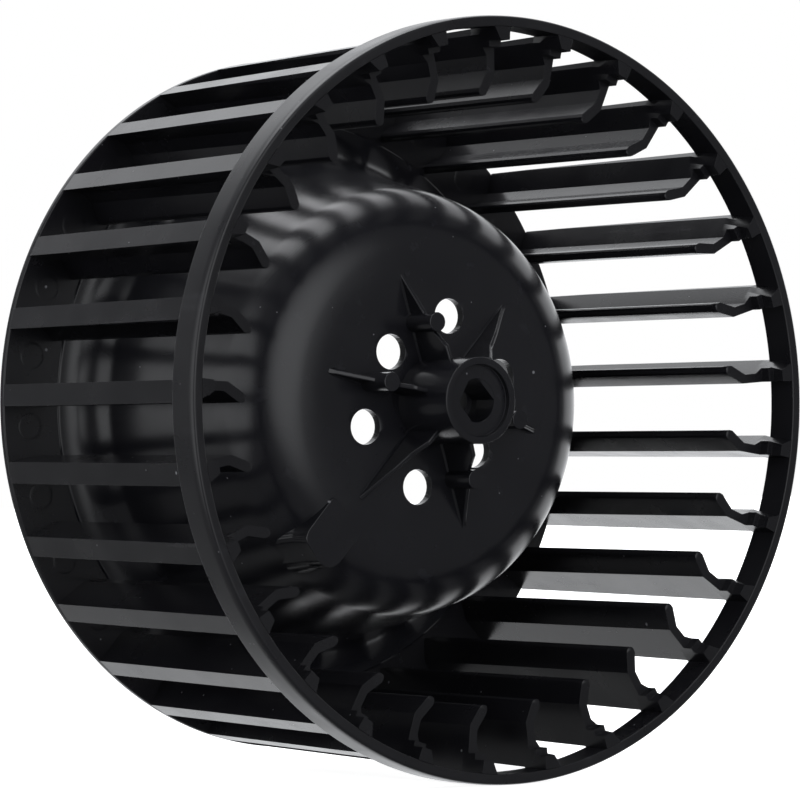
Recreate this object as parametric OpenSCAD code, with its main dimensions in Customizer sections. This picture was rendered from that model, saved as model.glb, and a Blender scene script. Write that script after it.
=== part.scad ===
// Blower motor wheel: a forward-curved centrifugal wheel moulded in black plastic.
// The wheel turns about Y. Its open inlet end faces -Y and its back plate faces +Y.
// The origin is on the axis, half way between the two ends.

/* [Wheel] */
// Outside diameter of the wheel, over the front ring
wheel_d = 140; // [138:0.5:146]
// Length of the wheel along its axis
wheel_depth = 69.3; // [66:0.1:70]
// Number of blades
blade_count = 29; // [15:1:31]
// Angle of the first blade, anticlockwise from +X seen from the inlet
first_blade_angle = 103.3; // [0:0.1:360]

/* [Front ring] */
// Length of the ring along the axis
ring_depth = 6.4; // [5.5:0.1:9]
// Thickness of the ring's wall
ring_wall = 2.1; // [1.5:0.1:2.5]
// Rounding of the ring's outer front edge
ring_lip_r = 0.8; // [0.3:0.1:1.2]

/* [Back plate] */
// Outside diameter of the back plate
plate_d = 133; // [131:0.1:134]
// Thickness of the back plate
plate_t = 1.4; // [1.2:0.1:2]

/* [Motor cup] */
// Depth of the cup's flat face below the inlet end
cup_face_depth = 24; // [23:0.1:26]
// Diameter of the cup's flat face
cup_face_d = 54.2; // [53:0.1:54.6]
// Outside radius of the cup's shoulder
shoulder_r = 13.5; // [12:0.1:13.8]
// Slope of the cup's wall from the axis
cup_draft = 13; // [11:0.5:13.5]
// Thickness of the cup's wall
cup_wall = 1.6; // [1.2:0.1:2]
// Radius of the hollow fillet at the cup's foot
foot_r = 7.8; // [6:0.1:8]
// Diameter of the cup's foot, where it meets the back plate
foot_d = 109.8; // [109.6:0.1:110.6]
// How far the foot stands above the back plate
foot_step = 0.3; // [0.1:0.1:0.5]
// Diameter of the vent holes
vent_d = 6.6; // [4:0.1:7]
// Distance of the four outer vents from the axis
vent_far = 16.35; // [15.5:0.05:18]
// Distance of the two inner vents from the axis
vent_near = 13.36; // [12.6:0.05:14]

/* [Hub] */
// Outside diameter of the hub
hub_d = 16; // [15:0.1:16.5]
// Depth of the hub's front face below the inlet end
hub_face_depth = 9.4; // [7:0.1:12]
// Length of the hub behind the cup's face
hub_tail = 5.6; // [3:0.1:9]
// Diameter of the motor shaft bore
bore_d = 7.94; // [6:0.01:8.2]
// Length of the front stretch of the bore, which has three flats that grip the shaft
flat_depth = 8; // [4:0.5:10]
// Diameter of the collar in the bore that stops the shaft's round part
stop_d = 5.8; // [4:0.1:5.8]
// Length of that collar
stop_t = 0.8; // [0.5:0.1:1.5]
// Diameter of the recess in the hub's front face
recess_d = 13.3; // [12:0.1:14]
// Depth of the recess in the hub's front face
recess_depth = 1.15; // [0.3:0.05:1.3]

/* [Ribs] */
// Thickness of a rib
rib_t = 0.9; // [0.7:0.1:1.5]
// Diameter of the round bosses on four of the ribs
boss_d = 3.6; // [2.5:0.1:4]
// Distance of a boss from the axis
boss_offset = 15.2; // [14.5:0.1:16]

/* [Hidden] */
$fn = 96;
rib_count = 6;
rib_pitch = 360 / rib_count;
rib_angle = 46.75;
vent_angle = 16.7;
near_vents = [2, 5];
pitch = 360 / blade_count;

ring_r = wheel_d / 2;
ring_bore_r = ring_r - ring_wall;
plate_r = plate_d / 2;
plate_face = wheel_depth - plate_t;
foot_face = plate_face - foot_step;
foot_outer_r = foot_d / 2;
cup_face_r = cup_face_d / 2;
hub_r = hub_d / 2;
hub_end = cup_face_depth + hub_tail;

// The cup's wall: its outer radius at a depth below the inlet end
shoulder_depth = cup_face_depth + shoulder_r;
wall_slope = tan(cup_draft);
wall_foot_depth = foot_face - foot_r * (1 - sin(cup_draft));
wall_top_r = cup_face_r + shoulder_r / cos(cup_draft);
function cup_wall_r(depth) = wall_top_r + (depth - shoulder_depth) * wall_slope;
foot_centre_depth = foot_face - foot_r;
foot_centre_r = cup_wall_r(foot_centre_depth) + foot_r / cos(cup_draft);
// Rounding of the cup's open mouth at the rear, which follows the fillet outside
mouth_r = foot_r + 0.75 * cup_wall;

// The ribs: distance from the axis and depth below the inlet end, along the free edge
rib_tip_r = 24.6;
rib_edge = [[17.5, 20.0], [13.7, 18.3], [10.6, 15.5]];
rib_root_depth = 15.3;
boss_face_depth = 16.6;
bossed_ribs = [2, 3, 5, 6];

// The flats in the bore: direction of each flat and its distance from the axis
bore_flats = [[43, 3.0], [152, 3.42], [220, 3.4]];

// The pad on the cup's shoulder: distance from the axis and angle of each corner
pad_outline = [
    [28.7, -142.7], [37.2, -140.5], [38.6, -139.2], [39.5, -131.2],
    [38.8, -128.0], [37.3, -126.3], [34.9, -125.6], [28.4, -123.9]
];
pad_root_depth = 36;

// The blade's section, across the axis: how far the web's two faces lie from the blade's own radius
web_convex = -0.95;
web_concave = 0.75;
// The hooked inner edge: distance out from the blade's inner edge and distance across
blade_inner_r = foot_outer_r + 0.6;
hook = [
    [4.7, 0.75], [3.9, 1.2], [1.5, 2.6], [0.8, 2.66], [0.3, 2.5],
    [0.08, 2.15], [0.08, 1.5], [0.3, 1.12], [0.8, 0.78], [3.9, -0.95]
];
// The outer flange stands on one side of the web and is braced from below
flange_edge = 3.1;
brace_inner_r = ring_bore_r - 5;
brace_outer_r = ring_bore_r - 1.3;
flange_front_r = ring_bore_r - 0.1;
// Inside the front ring the blade's free edge rises in two steps
blade_front = 4.8;
blade_front_r = ring_bore_r - 3.5;
step_front = 2.7;
step_r = ring_bore_r - 2.4;
// The outermost step widens where it joins the ring
tab_inner = 1.15;
tab_outer = 2.4;
tab_spread = 0.15;

wheel_black = "#2a2b30";
cup_black = "#33343a";
hub_black = "#303137";
clear = 1;

function two_digits(i) = i < 10 ? str("0", i) : str(i);
function blade_name(i) = str("blade_", two_digits(i));
function rib_name(i) = str("hub_rib_", i);
function polar(p) = [p[0] * cos(p[1]), p[0] * sin(p[1])];

// Turns the drawing frame, whose axis is Z with the inlet end on top, to the wheel's own frame
module on_axis() {
    rotate([90, 0, 0]) translate([0, 0, wheel_depth / 2]) children();
}

// A flat shape drawn across the axis, between two depths below the inlet end
module slab(from, to) {
    translate([0, 0, -to]) linear_extrude(to - from) children();
}

// A round bar on the axis between two depths
module core(r, from, to) {
    translate([0, 0, -to]) cylinder(r = r, h = to - from);
}

module front_ring() {
    color(wheel_black) on_axis() rotate_extrude() {
        difference() {
            translate([ring_bore_r, -ring_depth]) square([ring_wall, ring_depth]);
            translate([ring_r - ring_lip_r, -ring_lip_r]) square(ring_lip_r + clear);
        }
        translate([ring_r - ring_lip_r, -ring_lip_r]) circle(r = ring_lip_r);
    }
}

module back_plate() {
    color(wheel_black) on_axis() difference() {
        core(plate_r, plate_face, wheel_depth);
        core(foot_outer_r, plate_face - clear, wheel_depth + clear);
    }
}

// What rounding the shoulder takes away, between straight up and the direction square to the wall
module shoulder_rounding(r) {
    reach = r + clear;
    translate([cup_face_r, -shoulder_depth]) difference() {
        polygon([[0, 0], [reach, reach * wall_slope], [reach, reach], [0, reach]]);
        circle(r = r);
    }
}

// Section of the cup's outside, filled to the axis
module cup_outside() {
    difference() {
        polygon([
            [0, -cup_face_depth],
            [cup_wall_r(cup_face_depth), -cup_face_depth],
            [cup_wall_r(wall_foot_depth), -wall_foot_depth],
            [foot_centre_r, -foot_centre_depth],
            [foot_centre_r, -foot_face],
            [foot_outer_r, -foot_face],
            [foot_outer_r, -wheel_depth],
            [0, -wheel_depth]
        ]);
        shoulder_rounding(shoulder_r);
        translate([foot_centre_r, -foot_centre_depth]) circle(r = foot_r);
    }
}

// The cup's inner wall: its radius at a depth below the inlet end
function cup_hollow_r(depth) = cup_wall_r(depth) - cup_wall / cos(cup_draft);

// Section of the cup's hollow
module cup_inside() {
    hollow_top = cup_face_depth + cup_wall;
    difference() {
        polygon([
            [0, -hollow_top],
            [cup_hollow_r(hollow_top), -hollow_top],
            [cup_hollow_r(wheel_depth + clear), -wheel_depth - clear],
            [0, -wheel_depth - clear]
        ]);
        shoulder_rounding(shoulder_r - cup_wall);
    }
}

// Section of what the rounded mouth takes away between the cup's inner wall and its rear face
module cup_mouth() {
    centre = [cup_hollow_r(wheel_depth - mouth_r) + mouth_r / cos(cup_draft), mouth_r - wheel_depth];
    tangent = centre - mouth_r * [cos(cup_draft), sin(cup_draft)];
    difference() {
        polygon([
            centre,
            tangent,
            [tangent[0] - clear, tangent[1]],
            [tangent[0] - clear, -wheel_depth - clear],
            [centre[0], -wheel_depth - clear]
        ]);
        translate(centre) circle(r = mouth_r);
    }
}

module vent(i) {
    offset = len(search(i, near_vents)) > 0 ? vent_near : vent_far;
    wall_back = cup_face_depth + cup_wall;
    rotate(vent_angle + rib_pitch * i) translate([offset, 0]) {
        core(vent_d / 2, cup_face_depth - clear, wall_back + clear);
    }
}

module motor_cup() {
    color(cup_black) on_axis() difference() {
        rotate_extrude() cup_outside();
        rotate_extrude() cup_inside();
        rotate_extrude() cup_mouth();
        core(hub_r, cup_face_depth - clear, hub_end);
        for (i = [0:rib_count - 1]) vent(i);
    }
}

// Section of the bore's front stretch: a circle cut off by three flats
module flatted_bore() {
    difference() {
        circle(d = bore_d);
        for (flat = bore_flats) {
            rotate(flat[0]) translate([flat[1], -bore_d / 2]) square([bore_d, bore_d]);
        }
    }
}

module hub() {
    recess_floor = hub_face_depth + recess_depth;
    flats_end = hub_face_depth + flat_depth;
    color(hub_black) on_axis() difference() {
        core(hub_r, hub_face_depth, hub_end);
        core(recess_d / 2, hub_face_depth - clear, recess_floor);
        slab(hub_face_depth - clear, flats_end) flatted_bore();
        core(stop_d / 2, hub_face_depth - clear, hub_end + clear);
        core(bore_d / 2, flats_end + stop_t, hub_end + clear);
    }
}

// A thin gusset between the hub and the cup's face; four of the six carry a round boss
module hub_rib(i) {
    edge = concat(
        [[0, -cup_face_depth], [rib_tip_r, -cup_face_depth]],
        [for (p = rib_edge) [p[0], -p[1]]],
        [[0, -rib_root_depth]]
    );
    color(hub_black) on_axis() rotate(rib_angle + rib_pitch * (i - 1)) difference() {
        union() {
            translate([0, rib_t / 2, 0]) rotate([90, 0, 0]) linear_extrude(rib_t) polygon(edge);
            if (len(search(i, bossed_ribs)) > 0) {
                translate([boss_offset, 0]) core(boss_d / 2, boss_face_depth, cup_face_depth);
            }
        }
        core(hub_r, 0, wheel_depth);
    }
}

module cup_pad() {
    color(cup_black) on_axis() difference() {
        slab(cup_face_depth, pad_root_depth) polygon([for (p = pad_outline) polar(p)]);
        rotate_extrude() cup_outside();
    }
}

// The hooked inner edge and the web, out to a given distance from the axis
module hooked_web(outer_r) {
    polygon(concat(
        [[outer_r, web_convex], [outer_r, web_concave]],
        [for (p = hook) [blade_inner_r + p[0], p[1]]]
    ));
}

// The outer part of the web with its flange
module flange() {
    polygon([
        [brace_inner_r, web_convex],
        [ring_r, web_convex],
        [ring_r, flange_edge],
        [brace_outer_r, flange_edge],
        [brace_inner_r, web_concave]
    ]);
}

// The outermost step
module ring_step() {
    polygon([
        [step_r, web_convex],
        [ring_bore_r + clear, web_convex - tab_spread],
        [ring_bore_r + clear, tab_outer],
        [step_r, tab_inner]
    ]);
}

module blade_body() {
    slab(blade_front, plate_face) hooked_web(blade_front_r);
    slab(step_front, plate_face) {
        translate([blade_front_r, web_convex]) square([step_r - blade_front_r, web_concave - web_convex]);
    }
    intersection() {
        slab(0, ring_depth) ring_step();
        core(ring_bore_r, -clear, wheel_depth);
    }
    intersection() {
        slab(ring_depth, plate_face) flange();
        translate([0, 0, -plate_face]) {
            cylinder(r1 = plate_r, r2 = flange_front_r, h = plate_face - ring_depth);
        }
    }
}

module blade(i) {
    color(wheel_black) on_axis() rotate(first_blade_angle - pitch * (i - 1)) blade_body();
}

for (i = [1:rib_count]) hub_rib(i);
for (i = [1:blade_count]) blade(i);
front_ring();
back_plate();
motor_cup();
hub();
cup_pad();
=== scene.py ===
"""The blower motor wheel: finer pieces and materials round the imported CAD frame. Lengths are in metres."""

import math
from math import cos, pi, radians, sin, sqrt, tan

import bmesh
import bpy
from mathutils import Matrix, Vector


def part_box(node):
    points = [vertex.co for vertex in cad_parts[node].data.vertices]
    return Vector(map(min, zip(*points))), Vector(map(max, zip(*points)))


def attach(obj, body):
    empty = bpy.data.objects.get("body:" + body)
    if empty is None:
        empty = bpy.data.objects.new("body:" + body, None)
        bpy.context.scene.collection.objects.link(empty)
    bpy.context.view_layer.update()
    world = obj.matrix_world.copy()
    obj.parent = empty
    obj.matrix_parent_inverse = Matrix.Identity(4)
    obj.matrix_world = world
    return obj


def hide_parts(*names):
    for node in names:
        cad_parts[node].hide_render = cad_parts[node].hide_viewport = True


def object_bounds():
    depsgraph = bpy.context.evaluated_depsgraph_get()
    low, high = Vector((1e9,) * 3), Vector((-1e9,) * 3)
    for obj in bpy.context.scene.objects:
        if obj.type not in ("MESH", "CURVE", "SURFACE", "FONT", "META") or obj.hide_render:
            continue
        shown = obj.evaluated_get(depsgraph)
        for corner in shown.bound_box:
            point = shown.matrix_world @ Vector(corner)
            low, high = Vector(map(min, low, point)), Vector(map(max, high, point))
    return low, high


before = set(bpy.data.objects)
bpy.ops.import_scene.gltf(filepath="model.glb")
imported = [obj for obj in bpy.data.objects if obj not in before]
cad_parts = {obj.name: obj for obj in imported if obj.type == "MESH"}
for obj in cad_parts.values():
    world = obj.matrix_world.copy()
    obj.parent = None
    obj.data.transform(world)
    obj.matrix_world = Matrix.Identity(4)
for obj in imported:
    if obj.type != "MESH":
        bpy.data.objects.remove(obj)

cad_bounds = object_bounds()

MM = 0.001


# ---------------------------------------------------------------- the wheel's measurements

ring_low, ring_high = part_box("front_ring")
plate_low, plate_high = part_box("back_plate")
cup_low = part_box("motor_cup")[0]
hub_low, hub_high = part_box("hub")

FRONT = ring_low.y                      # the plane of the inlet end
RING_R = ring_high.x
RING_WALL = 2.1 * MM
RING_BORE = RING_R - RING_WALL
RING_BACK = ring_high.y
PLATE_R = 66.5 * MM
PLATE_FACE = plate_low.y
REAR = plate_high.y
CUP_FACE = cup_low.y
FOOT_R = 54.9 * MM
HUB_FACE = hub_low.y
HUB_END = hub_high.y
HUB_R = 8.0 * MM
BORE_R = 3.97 * MM

BLADE_COUNT = 29
BLADE_PITCH = 2 * pi / BLADE_COUNT
FIRST_BLADE = radians(103.3)
RIB_COUNT = 6
FIRST_RIB = radians(46.75)
FIRST_VENT = radians(16.7)
SIXTH = pi / 3

# The cup's profile: a flat face, a round shoulder and a wall that widens to a hollow-filleted foot
CUP_FLAT_R = 27.1 * MM
SHOULDER_R = 13.5 * MM
CUP_DRAFT = radians(13)
CUP_WALL = 1.6 * MM
FOOT_FILLET = 7.8 * MM
FOOT_STEP = 0.3 * MM
MOUTH_R = 9.0 * MM
VENT_R = 3.3 * MM
VENT_FAR = 16.35 * MM
VENT_NEAR = 13.36 * MM


def blade_angle(i):
    """Angle of blade i, counted from 1, anticlockwise from +X seen from the inlet."""
    return FIRST_BLADE - BLADE_PITCH * (i - 1)


def rib_angle(i):
    """Angle of rib i, counted from 1, in the same sense."""
    return FIRST_RIB + SIXTH * (i - 1)


def round_the_axis(r, y, angle):
    """A point at distance r from the axis, at y along it."""
    return Vector((r * cos(angle), y, r * sin(angle)))


# ---------------------------------------------------------------- mesh helpers

def smooth(t):
    """An even ramp from 0 to 1 with soft ends."""
    t = min(1.0, max(0.0, t))
    return t * t * (3 - 2 * t)


def new_object(name, bm):
    """Puts a bmesh into the scene as a smooth-shaded object."""
    bmesh.ops.recalc_face_normals(bm, faces=bm.faces)
    mesh = bpy.data.meshes.new(name)
    bm.to_mesh(mesh)
    bm.free()
    mesh.shade_smooth()
    piece = bpy.data.objects.new(name, mesh)
    bpy.context.scene.collection.objects.link(piece)
    return piece


def arc(centre, radius, start, end, steps):
    """Points (r, y) on an arc, with angles in radians measured from +r towards +y."""
    points = []
    for i in range(steps + 1):
        a = start + (end - start) * i / steps
        points.append((centre[0] + radius * cos(a), centre[1] + radius * sin(a)))
    return points


def lathe(bm, profile, segments):
    """Turns a closed outline of (r, y) points about the Y axis."""
    rings = []
    for k in range(segments):
        a = 2 * pi * k / segments
        rings.append([bm.verts.new(round_the_axis(r, y, a)) for r, y in profile])
    count = len(profile)
    for k in range(segments):
        here = rings[k]
        there = rings[(k + 1) % segments]
        for i in range(count):
            j = (i + 1) % count
            bm.faces.new((here[i], here[j], there[j], there[i]))


def skin(bm, rings):
    """Joins a stack of equal rings of points into a closed body with a cap at each end."""
    count = len(rings[0])
    for here, there in zip(rings, rings[1:]):
        for i in range(count):
            j = (i + 1) % count
            bm.faces.new((here[i], here[j], there[j], there[i]))
    bm.faces.new(rings[0])
    bm.faces.new(list(reversed(rings[-1])))


def prism(bm, outline, low, high, place):
    """A closed bar: an outline of (u, v) points swept from low to high. place(u, v, w) gives the point."""
    skin(bm, [[bm.verts.new(place(u, v, w)) for u, v in outline] for w in (low, high)])


def turned_peg(bm, centre, levels, steps=40):
    """A round peg along the axis's direction. levels gives its radius at each y."""
    turns = [2 * pi * k / steps for k in range(steps)]
    rings = []
    for radius, y in levels:
        ring = [centre + Vector((radius * cos(a), y, radius * sin(a))) for a in turns]
        rings.append([bm.verts.new(p) for p in ring])
    skin(bm, rings)


def apply_modifiers(piece):
    """Replaces the object's mesh with what its modifiers make of it."""
    graph = bpy.context.evaluated_depsgraph_get()
    done = bpy.data.meshes.new_from_object(piece.evaluated_get(graph))
    piece.modifiers.clear()
    piece.data = done
    return piece


def settle_shading(piece, sharp=40, edge=0.0, edge_angle=35):
    """Rounds the corners if an edge radius is given, and keeps flat faces flat beside small roundings."""
    if edge:
        bevel = piece.modifiers.new("rounded_edges", "BEVEL")
        bevel.width = edge
        bevel.segments = 2
        bevel.limit_method = "ANGLE"
        bevel.angle_limit = radians(edge_angle)
    else:
        piece.data.set_sharp_from_angle(angle=radians(sharp))
    weighted = piece.modifiers.new("flat_faces", "WEIGHTED_NORMAL")
    weighted.keep_sharp = True
    weighted.weight = 80
    return apply_modifiers(piece)


def cut(piece, cutter):
    """Takes one closed mesh away from another."""
    hole = piece.modifiers.new("cut", "BOOLEAN")
    hole.operation = "DIFFERENCE"
    hole.solver = "EXACT"
    hole.object = cutter
    apply_modifiers(piece)
    bpy.data.objects.remove(cutter)
    return piece


def hand_in(piece, slot, material, *nodes):
    """Gives a piece its material and its body, and lets it stand for the CAD nodes."""
    piece.data.materials.clear()
    piece.data.materials.append(material)
    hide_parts(*nodes)
    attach(piece, "root")
    return piece


# ---------------------------------------------------------------- materials

class Nodes:
    """A material's node tree with short calls for the nodes that the plastics share."""

    def __init__(self, name):
        self.material = bpy.data.materials.new(name)
        self.material.use_nodes = True
        self.tree = self.material.node_tree
        self.shader = self.tree.nodes["Principled BSDF"]
        self.place = self.tree.nodes.new("ShaderNodeTexCoord").outputs["Object"]

    def link(self, a, b):
        self.tree.links.new(a, b)

    def node(self, kind, **settings):
        made = self.tree.nodes.new(kind)
        for name, value in settings.items():
            setattr(made, name, value)
        return made

    def stretched(self, scale):
        """The object's own coordinates, scaled differently along each axis."""
        mapping = self.node("ShaderNodeMapping")
        mapping.inputs["Scale"].default_value = scale
        self.link(self.place, mapping.inputs["Vector"])
        return mapping.outputs["Vector"]

    def noise(self, scale, detail=2.0, roughness=0.5, vector=None):
        made = self.node("ShaderNodeTexNoise")
        made.inputs["Scale"].default_value = scale
        made.inputs["Detail"].default_value = detail
        made.inputs["Roughness"].default_value = roughness
        self.link(vector or self.place, made.inputs["Vector"])
        return made.outputs["Fac"]

    def remap(self, value, low, high, to_low=0.0, to_high=1.0):
        made = self.node("ShaderNodeMapRange", interpolation_type="SMOOTHSTEP")
        made.inputs["From Min"].default_value = low
        made.inputs["From Max"].default_value = high
        made.inputs["To Min"].default_value = to_low
        made.inputs["To Max"].default_value = to_high
        self.link(value, made.inputs["Value"])
        return made.outputs["Result"]

    def math(self, operation, a, b):
        made = self.node("ShaderNodeMath", operation=operation)
        for socket, value in zip(made.inputs, (a, b)):
            if isinstance(value, (int, float)):
                socket.default_value = value
            else:
                self.link(value, socket)
        return made.outputs["Value"]

    def mix(self, factor, a, b):
        made = self.node("ShaderNodeMix", data_type="RGBA")
        self.link(factor, made.inputs["Factor"])
        for socket, value in ((made.inputs[6], a), (made.inputs[7], b)):
            if isinstance(value, tuple):
                socket.default_value = (*value, 1.0)
            else:
                self.link(value, socket)
        return made.outputs[2]

    def specks(self, scale, size, share):
        """Small round dots: the cells of a Voronoi pattern, kept only in a share of the places."""
        cells = self.node("ShaderNodeTexVoronoi")
        cells.inputs["Scale"].default_value = scale
        self.link(self.place, cells.inputs["Vector"])
        dot = self.remap(cells.outputs["Distance"], size, size * 0.5)
        pick = self.node("ShaderNodeSeparateColor")
        self.link(cells.outputs["Color"], pick.inputs["Color"])
        kept = self.math("LESS_THAN", pick.outputs["Red"], share)
        return self.math("MULTIPLY", dot, kept)


DUST = (0.32, 0.32, 0.34)
SCUFF_SHARE = 0.15
RIPPLE_DEPTH = 3e-6


def black_plastic(name, dark, pale, roughness, grain_size, grain_depth, dust_share):
    """Moulded black plastic: tone that drifts slowly, a fine grain, faint drag marks and specks of dust."""
    n = Nodes(name)
    drift = n.noise(45.0, detail=3.0)
    tone = n.mix(n.remap(drift, 0.35, 0.65), dark, pale)

    drag_marks = n.noise(260.0, detail=3.0, roughness=0.6, vector=n.stretched((1.0, 0.07, 1.0)))
    scuffs = n.remap(drag_marks, 0.62, 0.74)
    scuff_tone = tuple(3.2 * c for c in pale)
    scuffed = n.mix(n.math("MULTIPLY", scuffs, SCUFF_SHARE), tone, scuff_tone)

    dust = n.specks(420.0, 0.16, dust_share)
    lint = n.specks(1100.0, 0.2, dust_share * 0.7)
    dirt = n.math("MAXIMUM", dust, n.math("MULTIPLY", lint, 0.6))
    n.link(n.mix(dirt, scuffed, DUST), n.shader.inputs["Base Color"])

    blotches = n.noise(110.0, detail=4.0)
    rough = n.remap(blotches, 0.3, 0.7, *roughness)
    rough = n.math("ADD", rough, n.math("MULTIPLY", scuffs, 0.03))
    n.link(n.math("ADD", rough, n.math("MULTIPLY", dirt, 0.4)), n.shader.inputs["Roughness"])

    grain = n.noise(1.0 / grain_size, detail=2.0, roughness=0.55)
    ripple = n.noise(140.0, detail=1.0)
    fine = n.math("MULTIPLY", grain, grain_depth)
    height = n.math("ADD", fine, n.math("MULTIPLY", ripple, RIPPLE_DEPTH))
    bump = n.node("ShaderNodeBump")
    bump.inputs["Strength"].default_value = 1.0
    bump.inputs["Distance"].default_value = 1.0
    n.link(height, bump.inputs["Height"])
    n.link(bump.outputs["Normal"], n.shader.inputs["Normal"])
    n.shader.inputs["IOR"].default_value = 1.5
    return n.material


SATIN = black_plastic(
    "satin_black_plastic", dark=(0.0100, 0.0098, 0.0122), pale=(0.0135, 0.0133, 0.0160),
    roughness=(0.22, 0.28), grain_size=0.22 * MM, grain_depth=1.2e-6, dust_share=0.008)
RING_SATIN = black_plastic(
    "scuffed_black_plastic", dark=(0.0105, 0.0103, 0.0128), pale=(0.0145, 0.0143, 0.0172),
    roughness=(0.26, 0.34), grain_size=0.22 * MM, grain_depth=1.6e-6, dust_share=0.014)
POLISHED = black_plastic(
    "polished_black_plastic", dark=(0.0125, 0.0125, 0.0158), pale=(0.0155, 0.0155, 0.0192),
    roughness=(0.18, 0.24), grain_size=0.30 * MM, grain_depth=1.0e-6, dust_share=0.008)


# ---------------------------------------------------------------- front ring

# The outer lip: distance in from the ring's outside and depth behind its front face
LIP = ((0.7, 0.0), (0.45, 0.04), (0.27, 0.16), (0.15, 0.4), (0.07, 0.8), (0.02, 1.3), (0.0, 1.9))


def make_front_ring():
    """A plain band with a rounded outer lip and slightly broken inner edges."""
    edge = 0.2 * MM
    profile = [(RING_R - inwards * MM, FRONT + depth * MM) for inwards, depth in LIP]
    profile += arc((RING_R - edge, RING_BACK - edge), edge, 0, pi / 2, 3)
    profile += arc((RING_BORE + edge, RING_BACK - edge), edge, pi / 2, pi, 3)
    profile += arc((RING_BORE + edge, FRONT + edge), edge, pi, 1.5 * pi, 3)
    bm = bmesh.new()
    lathe(bm, profile, 360)
    ring = settle_shading(new_object("front_ring_band", bm))
    return hand_in(ring, "satin_black", RING_SATIN, "front_ring")


# ---------------------------------------------------------------- back plate

EJECTOR_R = 2.5 * MM
EJECTOR_FROM_AXIS = 60.9 * MM
EJECTOR_FROM_BLADE = radians(6.2)


def add_ejector_mark(bm, angle):
    """A faint round step left by an ejector pin between two blades."""
    rise = 0.04 * MM
    sunk = 0.3 * MM
    rim = 0.2 * MM
    centre = round_the_axis(EJECTOR_FROM_AXIS, 0, angle)
    levels = [(EJECTOR_R, PLATE_FACE + sunk), (EJECTOR_R, PLATE_FACE)]
    levels += [(EJECTOR_R - rim, PLATE_FACE - rise), (EJECTOR_R - 3 * rim, PLATE_FACE - 0.2 * rise)]
    turned_peg(bm, centre, levels)


def make_back_plate():
    """A flat annulus with softened rims and one ejector mark between each pair of blades."""
    edge = 0.3 * MM
    profile = []
    profile += arc((PLATE_R - edge, PLATE_FACE + edge), edge, -pi / 2, 0, 3)
    profile += arc((PLATE_R - edge, REAR - edge), edge, 0, pi / 2, 3)
    profile += [(FOOT_R, REAR), (FOOT_R, PLATE_FACE)]
    bm = bmesh.new()
    lathe(bm, profile, 360)
    for i in range(1, BLADE_COUNT + 1):
        add_ejector_mark(bm, blade_angle(i) + EJECTOR_FROM_BLADE)
    plate = settle_shading(new_object("back_plate_disc", bm))
    return hand_in(plate, "satin_black", SATIN, "back_plate")


# ---------------------------------------------------------------- motor cup

def cup_wall_r(y):
    """Outer radius of the cup's sloping wall at y."""
    return CUP_FLAT_R + SHOULDER_R / cos(CUP_DRAFT) + (y - CUP_FACE - SHOULDER_R) * tan(CUP_DRAFT)


# The shoulder starts with a slow arc, so the flat face runs softly into it
SLOW_R = 42 * MM
SLOW_TURN = radians(8)
TIGHT_R = 12.8 * MM
TIGHT_Y = CUP_FACE + SLOW_R * (1 - cos(SLOW_TURN)) + TIGHT_R * cos(SLOW_TURN)
TIGHT_CENTRE_R = cup_wall_r(TIGHT_Y - TIGHT_R * sin(CUP_DRAFT)) - TIGHT_R * cos(CUP_DRAFT)
FLAT_END_R = TIGHT_CENTRE_R - (SLOW_R - TIGHT_R) * sin(SLOW_TURN)


def cup_surface_y(r):
    """Where the cup's outside lies at distance r from the axis, on its face and shoulder."""
    if r <= FLAT_END_R:
        return CUP_FACE
    if r <= FLAT_END_R + SLOW_R * sin(SLOW_TURN):
        return CUP_FACE + SLOW_R - sqrt(SLOW_R ** 2 - (r - FLAT_END_R) ** 2)
    return TIGHT_Y - sqrt(max(0.0, TIGHT_R ** 2 - (r - TIGHT_CENTRE_R) ** 2))


def cup_profile():
    """The cup's section: its outside from the hub to the foot, then its inside back to the hub."""
    shoulder = (CUP_FLAT_R, CUP_FACE + SHOULDER_R)
    foot_face = PLATE_FACE - FOOT_STEP
    foot_y = foot_face - FOOT_FILLET
    foot = (cup_wall_r(foot_y) + FOOT_FILLET / cos(CUP_DRAFT), foot_y)
    hollow = CUP_WALL / cos(CUP_DRAFT)
    mouth_y = REAR - MOUTH_R
    mouth = (cup_wall_r(mouth_y) - hollow + MOUTH_R / cos(CUP_DRAFT), mouth_y)
    top = -pi / 2
    square = -CUP_DRAFT
    step = 0.5 * MM
    outside = [(HUB_R, CUP_FACE)]
    outside += [(HUB_R + (FLAT_END_R - HUB_R) * i / 8, CUP_FACE) for i in range(1, 8)]
    outside += arc((FLAT_END_R, CUP_FACE + SLOW_R), SLOW_R, top, top + SLOW_TURN, 9)
    outside += arc((TIGHT_CENTRE_R, TIGHT_Y), TIGHT_R, top + SLOW_TURN, square, 30)[1:]
    outside += arc(foot, FOOT_FILLET, pi + square, pi / 2, 18)
    outside += arc((FOOT_R - step, foot_face + step), step, top, 0, 5)
    outside += [(FOOT_R, REAR)]
    inside = arc(mouth, MOUTH_R, pi / 2, pi + square, 14)
    inside += arc(shoulder, SHOULDER_R - CUP_WALL, square, top, 22)
    inside += [(HUB_R, CUP_FACE + CUP_WALL)]
    return outside + inside


def vent_cutter():
    """Six round bars where the vents go. Two of the six sit nearer the axis."""
    bm = bmesh.new()
    for i in range(6):
        offset = VENT_NEAR if i % 3 == 2 else VENT_FAR
        centre = round_the_axis(offset, 0, FIRST_VENT + SIXTH * i)
        outline = [(VENT_R * cos(2 * pi * k / 64), VENT_R * sin(2 * pi * k / 64)) for k in range(64)]

        def place(u, v, w, centre=centre):
            return centre + Vector((u, w, v))

        prism(bm, outline, CUP_FACE - MM, CUP_FACE + 3 * MM, place)
    return new_object("vent_cutter", bm)


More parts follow.
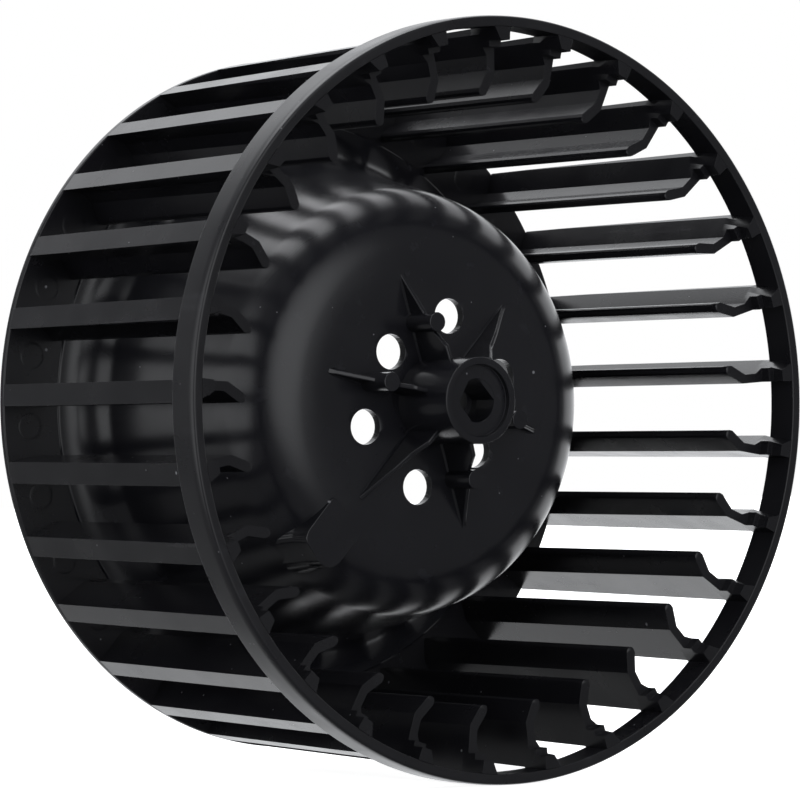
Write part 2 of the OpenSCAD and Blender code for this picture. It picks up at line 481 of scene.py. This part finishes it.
def make_motor_cup():
    bm = bmesh.new()
    lathe(bm, cup_profile(), 288)
    cup = cut(new_object("motor_cup_shell", bm), vent_cutter())
    settle_shading(cup, edge=0.18 * MM, edge_angle=60)
    return hand_in(cup, "polished_black", POLISHED, "motor_cup")


# ---------------------------------------------------------------- hub

RECESS_R = 6.65 * MM
RECESS_DEPTH = 1.15 * MM
FLAT_DEPTH = 8.0 * MM
STOP_R = 2.9 * MM
STOP_T = 0.8 * MM
BORE_FLATS = ((43, 3.0 * MM), (152, 3.42 * MM), (220, 3.4 * MM))


def hub_profile():
    """The tube's section, with its recessed face and the collar across its bore."""
    edge = 0.15 * MM
    small = 0.12 * MM
    stop = HUB_FACE + FLAT_DEPTH
    floor = HUB_FACE + RECESS_DEPTH
    points = arc((HUB_R - edge, HUB_FACE + edge), edge, -pi / 2, 0, 4)
    points += [(HUB_R, CUP_FACE), (HUB_R, CUP_FACE + CUP_WALL)]
    points += arc((HUB_R - edge, HUB_END - edge), edge, 0, pi / 2, 3)
    points += [(BORE_R + small, HUB_END), (BORE_R, HUB_END - small)]
    points += [(BORE_R, stop + STOP_T), (STOP_R, stop + STOP_T), (STOP_R, stop), (BORE_R, stop)]
    points += [(BORE_R, floor + small), (BORE_R + small, floor)]
    points += [(RECESS_R - small, floor), (RECESS_R, floor - small)]
    points += [(RECESS_R, HUB_FACE + small), (RECESS_R + small, HUB_FACE)]
    return points


def add_bore_flat(bm, direction, distance):
    """A pad on the bore's wall whose flat face lies at a distance from the axis."""
    buried = BORE_R + 0.2 * MM
    half = math.acos(distance / BORE_R)
    reach = distance * tan(half) + 0.1 * MM
    outline = [(distance, -reach), (distance, reach)]
    outline += [(buried * cos(a), buried * sin(a)) for a in (half, half / 2, 0, -half / 2, -half)]
    turn = Matrix.Rotation(-radians(direction), 3, "Y")

    def place(u, v, w):
        return turn @ Vector((u, w, v))

    start = HUB_FACE + RECESS_DEPTH + 0.1 * MM
    prism(bm, outline, start, HUB_FACE + FLAT_DEPTH, place)


def make_hub():
    bm = bmesh.new()
    lathe(bm, hub_profile(), 144)
    for direction, distance in BORE_FLATS:
        add_bore_flat(bm, direction, distance)
    hub = settle_shading(new_object("hub_tube", bm))
    return hand_in(hub, "polished_black", POLISHED, "hub")


# ---------------------------------------------------------------- hub ribs

RIB_T = 0.9 * MM
RIB_TIP = 24.6 * MM
RIB_EDGE = ((8.0, 15.3), (10.6, 15.5), (13.7, 18.3), (17.5, 20.0), (24.6, 24.0))
# Distances from the axis, in millimetres, of the sections between the hub and the tip
RIB_STATIONS = (8.4, 9.2, 10.2, 10.6, 11.0, 12.2, 13.3, 13.7, 14.1,
                15.5, 17.1, 17.5, 17.9, 19.5, 21.5, 23.2, 24.2)
BOSSED_RIBS = (2, 3, 5, 6)
BOSS_R = 1.8 * MM
BOSS_FROM_AXIS = 15.2 * MM
BOSS_FACE = 16.6 * MM


def rib_top(r):
    """Y of the rib's free edge at distance r from the axis."""
    reach = r / MM
    for (r0, d0), (r1, d1) in zip(RIB_EDGE, RIB_EDGE[1:]):
        if reach <= r1:
            share = max(0.0, (reach - r0) / (r1 - r0))
            return FRONT + (d0 + (d1 - d0) * share) * MM
    return CUP_FACE


def rib_section(height):
    """Half-widths up a rib's side: a small fillet at the foot and a rounded top edge."""
    fillet = min(0.55 * MM, height)
    crown = min(0.28 * MM, height * 0.5)
    half = RIB_T / 2
    side = []
    for i in range(5):
        a = pi / 2 * i / 4
        side.append((half + fillet * (1 - sin(a)), fillet * (1 - cos(a))))
    side[0] = (side[0][0], -0.3 * MM)
    for i in range(5):
        a = pi / 2 * i / 4
        side.append((half - crown * (1 - cos(a)), height - crown * (1 - sin(a))))
    return side


def add_rib(bm, angle):
    """A gusset made of sections from inside the hub's wall out to its tip."""
    least = 0.12 * MM
    rings = []
    for r in [HUB_R - 0.3 * MM] + [d * MM for d in RIB_STATIONS] + [RIB_TIP]:
        height = max(least, CUP_FACE - rib_top(r))
        side = rib_section(height)
        outline = side + [(-half, rise) for half, rise in reversed(side)]
        ring = []
        for across, rise in outline:
            radial = round_the_axis(r, CUP_FACE - rise, angle)
            ring.append(bm.verts.new(radial + across * Vector((-sin(angle), 0, cos(angle)))))
        rings.append(ring)
    skin(bm, rings)


def add_boss(bm, angle):
    """The round boss that an ejector pin pushes on."""
    centre = round_the_axis(BOSS_FROM_AXIS, 0, angle)
    face = FRONT + BOSS_FACE
    edge = 0.2 * MM
    levels = [(BOSS_R, CUP_FACE + 0.3 * MM), (BOSS_R, face + edge)]
    levels += [(BOSS_R - 0.3 * edge, face + 0.3 * edge), (BOSS_R - edge, face)]
    turned_peg(bm, centre, levels)


def make_rib(i):
    bm = bmesh.new()
    add_rib(bm, rib_angle(i))
    if i in BOSSED_RIBS:
        add_boss(bm, rib_angle(i))
    rib = settle_shading(new_object(f"hub_rib_gusset_{i}", bm))
    return hand_in(rib, "polished_black", POLISHED, f"hub_rib_{i}")


# ---------------------------------------------------------------- pad on the cup's shoulder

PAD_CORNERS = ((28.7, -142.7), (37.2, -140.5), (38.6, -139.2), (39.5, -131.2),
               (38.8, -128.0), (37.3, -126.3), (34.9, -125.6), (28.4, -123.9))


def rounded_outline(corners, radius, steps=5):
    """A polygon with each corner replaced by a short curve."""
    points = []
    count = len(corners)
    for i, corner in enumerate(corners):
        before = corners[i - 1]
        after = corners[(i + 1) % count]
        back = before - corner
        ahead = after - corner
        a = corner + back.normalized() * min(radius, back.length * 0.45)
        b = corner + ahead.normalized() * min(radius, ahead.length * 0.45)
        for k in range(steps + 1):
            t = k / steps
            points.append((1 - t) ** 2 * a + 2 * t * (1 - t) * corner + t ** 2 * b)
    return points


PAD_SPREAD = 1.13                       # how much wider the pad's foot is, measured round the axis
PAD_MIDDLE = -133.5                     # degrees
PAD_FOOT_R = 40.35 * MM
PAD_OUTER_R = 39.2 * MM
PAD_CREASE = 4.3 * MM                   # depth of the crease across its outer wall
PAD_BURIED = 0.25 * MM                  # how far the pad's foot reaches into the cup


def pad_point(p, share, depth, reach):
    """A point of the pad's side below the outline's point p, part of the way out to its foot."""
    turned = math.degrees(math.atan2(p.y, p.x)) - PAD_MIDDLE
    angle = radians(PAD_MIDDLE + turned * (1 + (PAD_SPREAD - 1) * share))
    outer = smooth((p.length - 36.5 * MM) / (2 * MM))
    r = p.length + outer * reach
    y = cup_surface_y(r) + PAD_BURIED
    if depth is not None:
        y = min(CUP_FACE + depth, y)
    return round_the_axis(r, y, angle)


def make_cup_pad():
    """A flat-topped pad whose sides spread as they run down the cup's shoulder."""
    corners = [Vector((r * cos(radians(a)), r * sin(radians(a)))) * MM for r, a in PAD_CORNERS]
    outline = rounded_outline(corners, 0.9 * MM)
    edge = 0.22 * MM
    centre = sum(outline, Vector((0, 0))) / len(outline)
    bm = bmesh.new()
    levels = []
    for inset, drop in ((edge, 0.0), (edge * 0.3, edge * 0.3)):
        rim = [p + (centre - p).normalized() * inset for p in outline]
        levels.append([bm.verts.new((q.x, CUP_FACE + drop, q.y)) for q in rim])
    for share, depth, reach in ((0.0, edge, 0.0), (0.5, PAD_CREASE - 0.3 * MM, 0.05 * MM),
                                (0.6, PAD_CREASE, 0.16 * MM), (1.0, None, PAD_FOOT_R - PAD_OUTER_R)):
        levels.append([bm.verts.new(pad_point(p, share, depth, reach)) for p in outline])
    skin(bm, levels)
    pad = settle_shading(new_object("cup_pad_block", bm))
    return hand_in(pad, "polished_black", POLISHED, "cup_pad")


# ---------------------------------------------------------------- blades

BLADE_INNER = FOOT_R + 0.6 * MM
WEB_CONVEX = -0.95 * MM
WEB_CONCAVE = 0.75 * MM
FLANGE_EDGE = 3.1 * MM
FLANGE_FRONT_R = RING_BORE - 0.1 * MM
BRACE_IN_R = 62.9 * MM
BRACE_OUT_R = RING_BORE - 1.3 * MM
STEP_IN_R = RING_BORE - 3.5 * MM
STEP_OUT_R = RING_BORE - 2.4 * MM
STEP_LEVEL = FRONT + 2.7 * MM
WEB_LEVEL = FRONT + 4.8 * MM
TAB_NARROW = 1.15 * MM
TAB_WIDE = 2.4 * MM
TAB_SPREAD = 0.15 * MM
COLUMN_GAP = 0.15 * MM                  # least distance between the last two columns of points
TINY = 1e-7
# The hook: distance out from the inner edge, then its convex and its concave face
HOOK = ((0.08, 1.5, 2.15), (0.3, 1.12, 2.5), (0.8, 0.78, 2.66), (1.5, 0.38, 2.6),
        (3.9, -0.95, 1.2), (4.7, -0.95, 0.75))


def blade_outer_r(y):
    """The blade's outer edge: the ring's bore inside the ring, and a slope to the plate's rim behind it."""
    if y <= RING_BACK:
        return RING_BORE
    share = (y - RING_BACK) / (PLATE_FACE - RING_BACK)
    return FLANGE_FRONT_R + (PLATE_R - FLANGE_FRONT_R) * share


def brace_rise(r):
    """How far the flange at the outer edge, and the slope up to it, stand out from the web."""
    share = (r - BRACE_IN_R) / (BRACE_OUT_R - BRACE_IN_R)
    return (FLANGE_EDGE - WEB_CONCAVE) * min(1.0, max(0.0, share))


def blade_faces(r, y):
    """How far the blade's convex and concave faces lie from its own radius."""
    low = WEB_CONVEX
    high = WEB_CONCAVE + brace_rise(r)
    if y < RING_BACK + TINY and r > STEP_OUT_R - TINY:
        out = (r - STEP_OUT_R) / (RING_BORE - STEP_OUT_R)
        tab = TAB_NARROW + (TAB_WIDE - TAB_NARROW) * out
        return low - TAB_SPREAD * out, tab + (high - tab) * (y - FRONT) / (RING_BACK - FRONT)
    return low, high


def blade_columns(y):
    """Distances from the axis of the columns of points beyond the hook, at one y."""
    shared = [BRACE_IN_R, STEP_IN_R, STEP_OUT_R]
    if y <= RING_BACK + TINY:
        return shared + [BRACE_OUT_R, RING_BORE]
    outer = blade_outer_r(y)
    return shared + [min(BRACE_OUT_R, outer - COLUMN_GAP), outer]


def make_blade_mesh():
    """One blade at angle 0: a grid over its length and depth, with a sheet of points on each face."""
    lean = 0.05 * MM
    levels = [FRONT, STEP_LEVEL, WEB_LEVEL, RING_BACK, RING_BACK + lean]
    levels += [RING_BACK + d * MM for d in (10, 20, 30, 40, 50)]
    levels += [PLATE_FACE]
    step_row = levels.index(STEP_LEVEL)
    web_row = levels.index(WEB_LEVEL)
    step_column = len(HOOK) + 1
    tab_column = len(HOOK) + 2
    columns = len(HOOK) + 5
    bm = bmesh.new()
    grid = {}
    for j, y in enumerate(levels):
        row = [(BLADE_INNER + d * MM, low * MM, high * MM) for d, low, high in HOOK]
        for r in blade_columns(y):
            low, high = blade_faces(r, y)
            row.append((r, low, high))
        for i, (r, low, high) in enumerate(row):
            grid[i, j, 0] = bm.verts.new((r, y, low))
            grid[i, j, 1] = bm.verts.new((r, y, high))

    def filled(i, j):
        """Whether the cell between columns i, i+1 and levels j, j+1 holds plastic."""
        if i < 0 or j < 0 or i >= columns - 1 or j >= len(levels) - 1:
            return False
        if i < step_column:
            return j >= web_row
        if i < tab_column:
            return j >= step_row
        return True

    for i in range(columns - 1):
        for j in range(len(levels) - 1):
            if not filled(i, j):
                continue
            for side in (0, 1):
                corners = ((i, j), (i + 1, j), (i + 1, j + 1), (i, j + 1))
                bm.faces.new([grid[(*corner, side)] for corner in corners])
            for di, dj, a, b in ((-1, 0, (i, j), (i, j + 1)), (1, 0, (i + 1, j), (i + 1, j + 1)),
                                 (0, -1, (i, j), (i + 1, j)), (0, 1, (i, j + 1), (i + 1, j + 1))):
                if not filled(i + di, j + dj):
                    bm.faces.new((grid[(*a, 0)], grid[(*b, 0)], grid[(*b, 1)], grid[(*a, 1)]))
    loose = [v for v in bm.verts if not v.link_faces]
    bmesh.ops.delete(bm, geom=loose, context="VERTS")
    blade = settle_shading(new_object("blade_pattern", bm), edge=0.14 * MM, edge_angle=21)
    mesh = blade.data
    bpy.data.objects.remove(blade)
    return mesh


def make_blades():
    pattern = make_blade_mesh()
    for i in range(1, BLADE_COUNT + 1):
        mesh = pattern.copy()
        mesh.transform(Matrix.Rotation(-blade_angle(i), 4, "Y"))
        blade = bpy.data.objects.new(f"blade_hooked_{i:02d}", mesh)
        bpy.context.scene.collection.objects.link(blade)
        hand_in(blade, "satin_black", SATIN, f"blade_{i:02d}")
    bpy.data.meshes.remove(pattern)


# ---------------------------------------------------------------- floor, light and camera

VIEW_AZIMUTH = radians(-36.556)
VIEW_ELEVATION = radians(-0.529)
VIEW_ROLL = radians(-0.344)
VIEW_DISTANCE = 0.8393
VIEW_LENS = 200.87
AIM = Vector((0.00025, 0.00005, 0.00036))


def towards(azimuth, elevation):
    """The unit vector from the wheel to a point at an azimuth and elevation; azimuth 0 is -Y, 90 is +X."""
    return Vector((sin(azimuth) * cos(elevation), -cos(azimuth) * cos(elevation), sin(elevation)))


def make_camera():
    data = bpy.data.cameras.new("camera")
    data.lens = VIEW_LENS
    data.sensor_width = 36.0
    data.clip_start = 0.05
    camera = bpy.data.objects.new("camera", data)
    bpy.context.scene.collection.objects.link(camera)
    back = towards(VIEW_AZIMUTH, VIEW_ELEVATION)
    right = Vector((cos(VIEW_AZIMUTH), sin(VIEW_AZIMUTH), 0))
    up = back.cross(right)
    turned = Matrix((right, up, back)).transposed() @ Matrix.Rotation(VIEW_ROLL, 3, "Z")
    camera.matrix_world = Matrix.Translation(AIM + back * VIEW_DISTANCE) @ turned.to_4x4()
    bpy.context.scene.camera = camera


def make_floor():
    """A plain white sheet under the wheel."""
    bm = bmesh.new()
    half = 3.0
    lowest = cad_bounds[0][2]
    square = ((-half, -half), (half, -half), (half, half), (-half, half))
    bm.faces.new([bm.verts.new((x, y, lowest)) for x, y in square])
    floor = new_object("floor", bm)
    material = bpy.data.materials.new("white_floor")
    material.use_nodes = True
    shader = material.node_tree.nodes["Principled BSDF"]
    shader.inputs["Base Color"].default_value = (0.9, 0.9, 0.9, 1.0)
    shader.inputs["Roughness"].default_value = 0.8
    shader.inputs["Emission Color"].default_value = (1.0, 1.0, 1.0, 1.0)
    shader.inputs["Emission Strength"].default_value = 0.9
    floor.data.materials.append(material)
    floor.visible_glossy = False
    floor.visible_diffuse = False


AMBIENT = 0.17
# Each soft light of the studio: direction it comes from, radius of its core and of its edge, brightness
BACKDROP = (-towards(VIEW_AZIMUTH - radians(8), radians(-4)), radians(50), radians(64), 1.2)
KEY = (towards(radians(-9), radians(14)), radians(6), radians(40), 1.35)
OVERHEAD = (towards(radians(180), radians(74)), radians(14), radians(34), 3.2)
SIDE = (towards(radians(-98), radians(8)), radians(22), radians(40), 1.1)
LIGHTS = (BACKDROP, KEY, OVERHEAD, SIDE)


def make_surround():
    """White studio: the soft lights on a dim surround, and plain white where the camera sees it."""
    world = bpy.data.worlds.new("studio")
    bpy.context.scene.world = world
    world.use_nodes = True
    tree = world.node_tree
    tree.nodes.clear()

    def node(kind, **settings):
        made = tree.nodes.new(kind)
        for name, value in settings.items():
            setattr(made, name, value)
        return made

    direction = node("ShaderNodeTexCoord").outputs["Generated"]
    total = None
    for source, core, edge, brightness in LIGHTS:
        facing = node("ShaderNodeVectorMath", operation="DOT_PRODUCT")
        facing.inputs[1].default_value = source
        tree.links.new(direction, facing.inputs[0])
        spread = node("ShaderNodeMapRange", interpolation_type="SMOOTHSTEP")
        spread.inputs["From Min"].default_value = cos(edge)
        spread.inputs["From Max"].default_value = cos(core)
        spread.inputs["To Min"].default_value = 0.0
        spread.inputs["To Max"].default_value = brightness
        tree.links.new(facing.outputs["Value"], spread.inputs["Value"])
        add = node("ShaderNodeMath", operation="ADD")
        tree.links.new(spread.outputs["Result"], add.inputs[0])
        if total is None:
            add.inputs[1].default_value = AMBIENT
        else:
            tree.links.new(total, add.inputs[1])
        total = add.outputs["Value"]
    lit = node("ShaderNodeBackground")
    lit.inputs["Color"].default_value = (0.96, 0.975, 1.0, 1.0)
    tree.links.new(total, lit.inputs["Strength"])
    seen = node("ShaderNodeBackground")
    seen.inputs["Color"].default_value = (1.0, 1.0, 1.0, 1.0)
    choose = node("ShaderNodeMixShader")
    tree.links.new(node("ShaderNodeLightPath").outputs["Is Camera Ray"], choose.inputs["Fac"])
    tree.links.new(lit.outputs["Background"], choose.inputs[1])
    tree.links.new(seen.outputs["Background"], choose.inputs[2])
    out = node("ShaderNodeOutputWorld")
    tree.links.new(choose.outputs["Shader"], out.inputs["Surface"])


# ---------------------------------------------------------------- everything together

make_camera()
make_surround()
make_floor()
make_front_ring()
make_back_plate()
make_motor_cup()
make_hub()
for rib in range(1, RIB_COUNT + 1):
    make_rib(rib)
make_cup_pad()
make_blades()

bpy.context.scene.view_settings.view_transform = "Standard"
